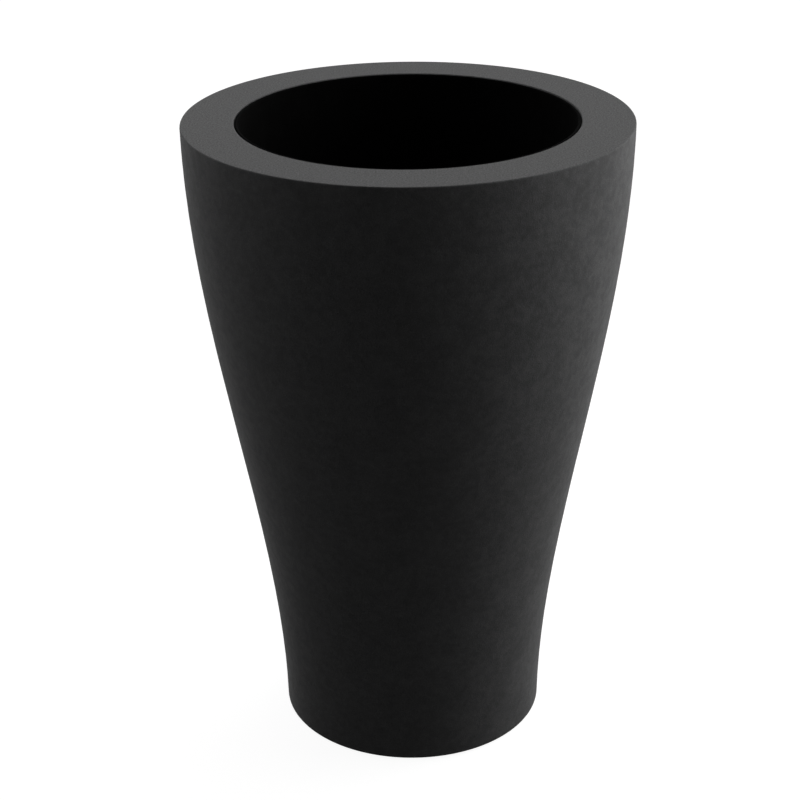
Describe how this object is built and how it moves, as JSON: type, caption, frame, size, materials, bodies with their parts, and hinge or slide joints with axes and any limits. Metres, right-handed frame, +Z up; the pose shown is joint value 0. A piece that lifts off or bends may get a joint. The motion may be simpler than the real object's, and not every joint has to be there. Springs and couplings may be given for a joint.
{
  "type": "planter",
  "caption": "Tall round floor planter with an S-curved wall, a wide flat rim and a lift-out liner that has a drain grid and rubber stoppers.",
  "frame": {"origin": "centre of the planter's floor print, on the plane that the foot pads stand on", "axes": "+Z up along the planter's axis, -Y towards the front, X through the hand slots"},
  "size_m": [0.54, 0.5399, 0.8],
  "materials": {
    "shell_charcoal": "matte, finely speckled",
    "liner_black": "matte",
    "rubber_black": "matte"
  },
  "bodies": {
    "shell": {"outer_shell": "shell_charcoal", "foot_pad_1": "rubber_black", "foot_pad_2": "rubber_black", "foot_pad_3": "rubber_black", "foot_pad_4": "rubber_black"},
    "liner": {"planting_liner": "liner_black"},
    "grid": {"drain_grid": "liner_black"},
    "liner_stopper": {"liner_bung": "rubber_black"},
    "shell_stopper": {"shell_bung": "rubber_black"}
  },
  "joints": [
    {"name": "liner_lift", "type": "slide", "parent": "shell", "child": "liner", "axis": [0, 0, 1], "range_m": [0, 0.52]},
    {"name": "grid_lift", "type": "slide", "parent": "liner", "child": "grid", "axis": [0, 0, 1], "range_m": [0, 0.5]},
    {"name": "liner_bung_pull", "type": "slide", "parent": "liner", "child": "liner_stopper", "axis": [0, 0, 1], "range_m": [0, 0.02]},
    {"name": "shell_bung_pull", "type": "slide", "parent": "shell", "child": "shell_stopper", "axis": [0, 0, 1], "range_m": [0, 0.1]}
  ]
}
